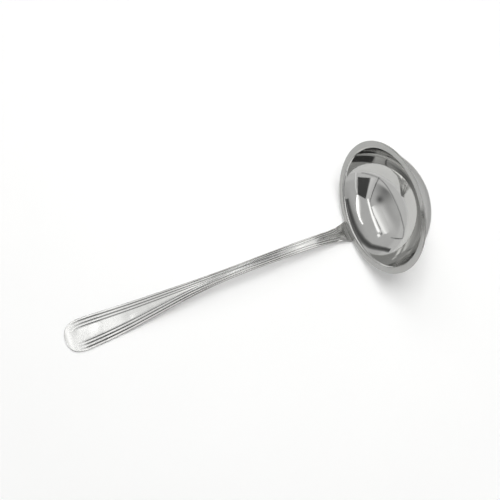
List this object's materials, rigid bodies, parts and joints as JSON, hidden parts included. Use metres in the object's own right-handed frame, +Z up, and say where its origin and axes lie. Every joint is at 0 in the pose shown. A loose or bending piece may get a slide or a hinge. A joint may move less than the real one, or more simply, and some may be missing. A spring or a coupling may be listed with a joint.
{
  "type": "soup ladle",
  "caption": "One-hand steel soup ladle: deep round bowl with a turned-out lip, on a long arched handle with raised threads along both edges and a fishtail root.",
  "frame": {"origin": "middle of the bounding box, on the table under the ladle as it lies at rest", "axes": "+X runs along the ladle from the handle's end to the bowl, +Y is its left side, and +Z is up from the table; Y = 0 is the mirror plane"},
  "size_m": [0.2826, 0.098, 0.0924],
  "materials": {
    "polished_steel": "mirror-polished stainless steel with fine hairline scratches from use",
    "ground_weld": "ground and buffed weld, duller than the polished steel round it"
  },
  "bodies": {
    "root": {"bowl": "polished_steel", "handle": "polished_steel", "root_weld": "ground_weld"}
  },
  "joints": []
}
